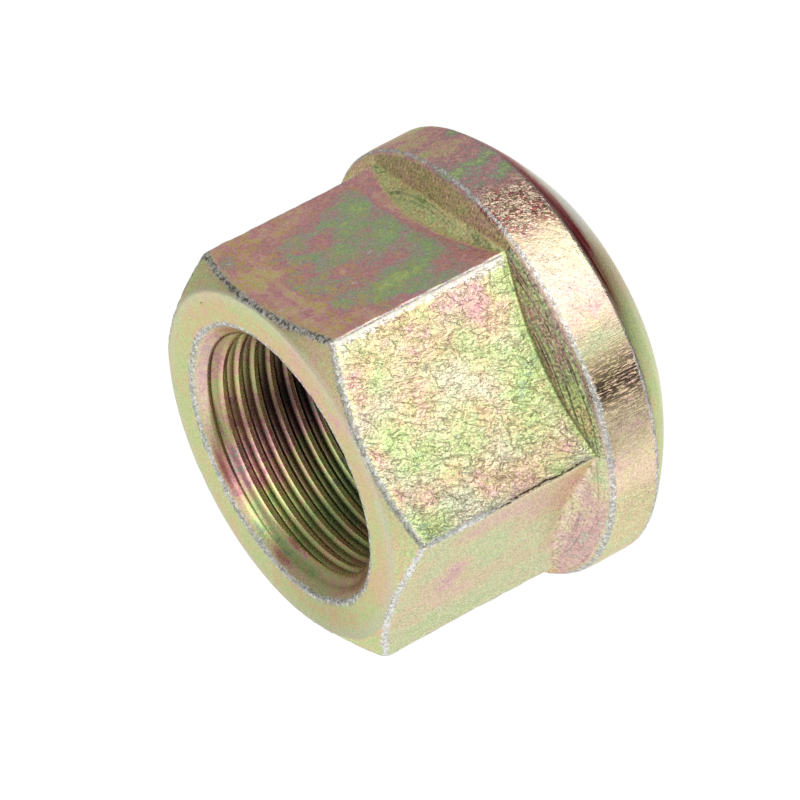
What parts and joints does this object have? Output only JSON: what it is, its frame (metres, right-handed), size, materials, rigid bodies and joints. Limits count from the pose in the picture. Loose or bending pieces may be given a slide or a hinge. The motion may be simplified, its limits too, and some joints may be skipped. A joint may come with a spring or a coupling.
{
  "type": "wheel nut",
  "caption": "Forged hexagon wheel nut with a round flange and a spherical seat, chromate-plated steel, threaded through to clamp a road wheel on its stud.",
  "frame": {"origin": "centre of the nut's seat end, on the flat ring that it stands on", "axes": "+Z along the thread towards the hexagon end, +X through a corner of the hexagon, +Y across two flats"},
  "size_m": [0.0367, 0.0366, 0.027],
  "materials": {
    "chromated_steel": "zinc plate with a yellow iridescent chromate, worn to grey metal on the edges"
  },
  "bodies": {
    "root": {"wheel_nut": "chromated_steel"}
  },
  "joints": []
}
